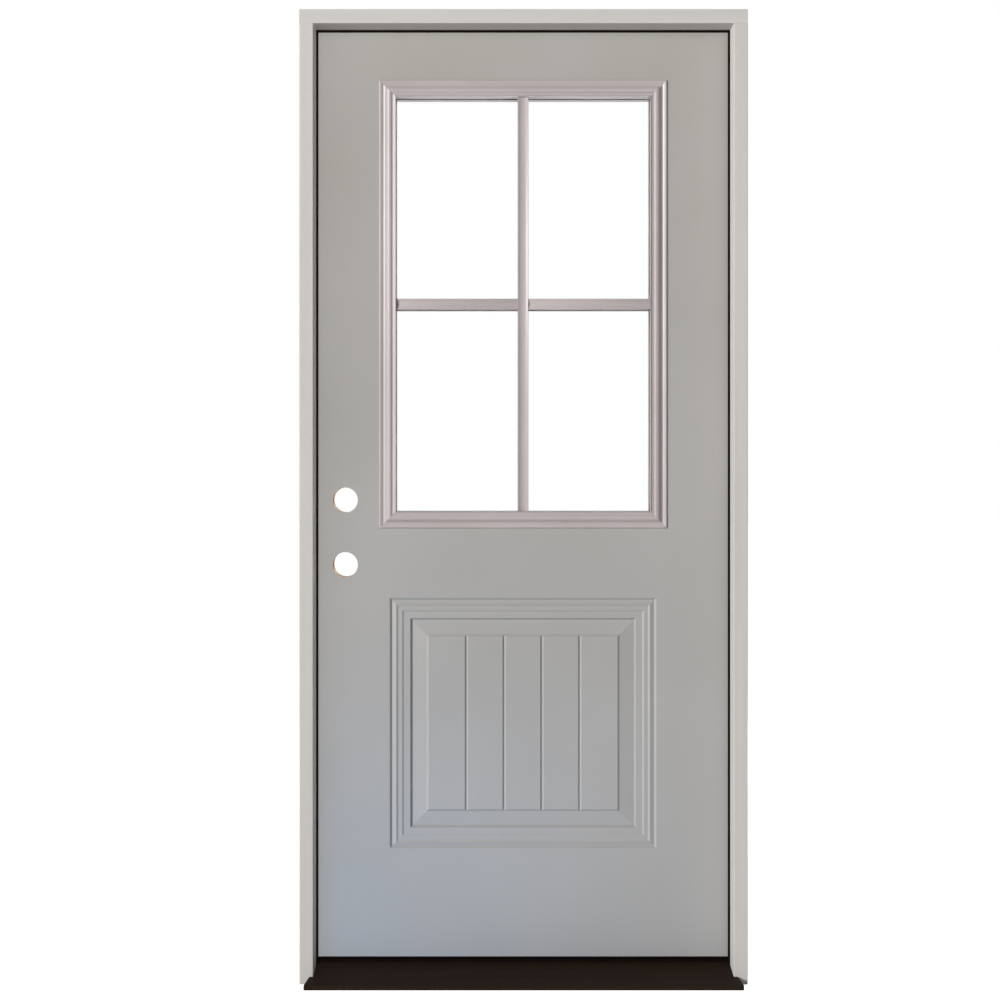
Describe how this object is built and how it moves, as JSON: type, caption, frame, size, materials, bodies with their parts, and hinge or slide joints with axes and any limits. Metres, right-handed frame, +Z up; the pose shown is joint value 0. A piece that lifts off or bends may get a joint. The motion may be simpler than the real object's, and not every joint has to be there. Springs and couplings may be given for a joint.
{
  "type": "steel front door",
  "caption": "Prehung steel front door with a divided glass upper half, an embossed plank panel below, lock bores and a dark sill, swinging inward on butt hinges.",
  "frame": {"origin": "middle of the sill's underside, level with the outer face of the jambs", "axes": "+X to the right seen from outside, towards the hinges; +Y into the house; +Z up"},
  "size_m": [0.9524, 0.1747, 2.07],
  "materials": {
    "primed_wood": "factory primed wood, light grey, low sheen",
    "primed_steel": "factory primed steel, warm light grey, fine orange peel",
    "lite_plastic": "moulded paintable plastic, pale pinkish grey, satin",
    "clear_glass": "clear float glass",
    "spacer_metal": "mill finish spacer bar",
    "bronze_aluminium": "dark bronze anodised",
    "dark_composite": "dark brown composite",
    "dark_seal": "dark brown foam and vinyl",
    "hinge_steel": "satin plated steel",
    "core_wood": "bare softwood",
    "core_foam": "rigid insulating foam"
  },
  "bodies": {
    "frame": {"bottom_hinge_jamb_leaf": "hinge_steel", "bottom_hinge_pin": "hinge_steel", "head_jamb": "primed_wood", "head_weatherstrip": "dark_seal", "hinge_jamb": "primed_wood", "hinge_weatherstrip": "dark_seal", "middle_hinge_jamb_leaf": "hinge_steel", "middle_hinge_pin": "hinge_steel", "sill_base": "dark_composite", "sill_cap": "dark_composite", "sill_deck": "bronze_aluminium", "strike_jamb": "primed_wood", "strike_weatherstrip": "dark_seal", "top_hinge_jamb_leaf": "hinge_steel", "top_hinge_pin": "hinge_steel"},
    "door": {"bottom_hinge_door_leaf": "hinge_steel", "bottom_rail": "core_wood", "door_sweep": "dark_seal", "foam_core": "core_foam", "glass_spacer": "spacer_metal", "hinge_stile": "core_wood", "inner_hinge_side_muntin": "lite_plastic", "inner_lite_bottom": "lite_plastic", "inner_lite_hinge_side": "lite_plastic", "inner_lite_lock_side": "lite_plastic", "inner_lite_top": "lite_plastic", "inner_lock_side_muntin": "lite_plastic", "inner_pane": "clear_glass", "inner_skin": "primed_steel", "inner_upright_muntin": "lite_plastic", "lock_block": "core_wood", "lock_stile": "core_wood", "middle_hinge_door_leaf": "hinge_steel", "outer_hinge_side_muntin": "lite_plastic", "outer_lite_bottom": "lite_plastic", "outer_lite_hinge_side": "lite_plastic", "outer_lite_lock_side": "lite_plastic", "outer_lite_top": "lite_plastic", "outer_lock_side_muntin": "lite_plastic", "outer_pane": "clear_glass", "outer_skin": "primed_steel", "outer_upright_muntin": "lite_plastic", "top_hinge_door_leaf": "hinge_steel", "top_rail": "core_wood"}
  },
  "joints": [
    {"name": "door_swing", "type": "hinge", "parent": "frame", "child": "door", "pos_m": [0.45645, 0.1234, 1], "axis": [0, 0, -1], "range_deg": [0, 175]}
  ]
}
